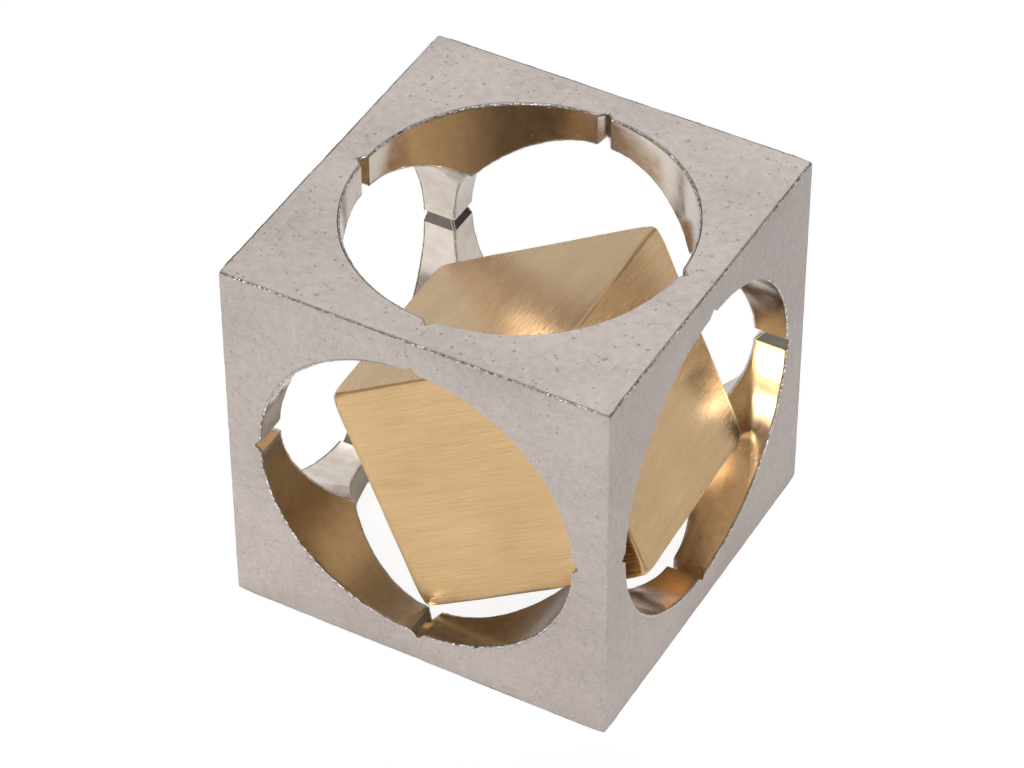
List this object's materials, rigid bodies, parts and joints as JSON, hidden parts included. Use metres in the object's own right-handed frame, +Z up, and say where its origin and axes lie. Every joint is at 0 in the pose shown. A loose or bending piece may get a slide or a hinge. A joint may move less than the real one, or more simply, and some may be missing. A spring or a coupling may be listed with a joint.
{
  "type": "turner's cube puzzle",
  "caption": "Hollow metal cube bored through on all three axes, holding a loose brass block that tumbles inside and slides out only along V grooves.",
  "frame": {"origin": "centre of the outer cube's bottom face, on the axis of the vertical bore", "axes": "+Z up along the vertical bore, +X out of the right face and -Y out of the front face as the cube stands in the picture"},
  "size_m": [0.0403, 0.04, 0.04],
  "materials": {
    "nickel_plate": "satin nickel plate outside with a fine grain and small pits; bright, nearly mirror nickel in the bores",
    "brass": "brushed brass, one direction of brushing on each face, edges and corners eased by hand"
  },
  "bodies": {
    "outer": {"outer_cube": "nickel_plate"},
    "inner": {"inner_block": "brass"}
  },
  "joints": [
    {"name": "inner_block_tumble", "type": "hinge", "parent": "outer", "child": "inner", "pos_m": [-0.0003, -0.00305, 0.01835], "axis": [0.4893, -0.7844, 0.3812], "range_deg": [0, 145]}
  ]
}
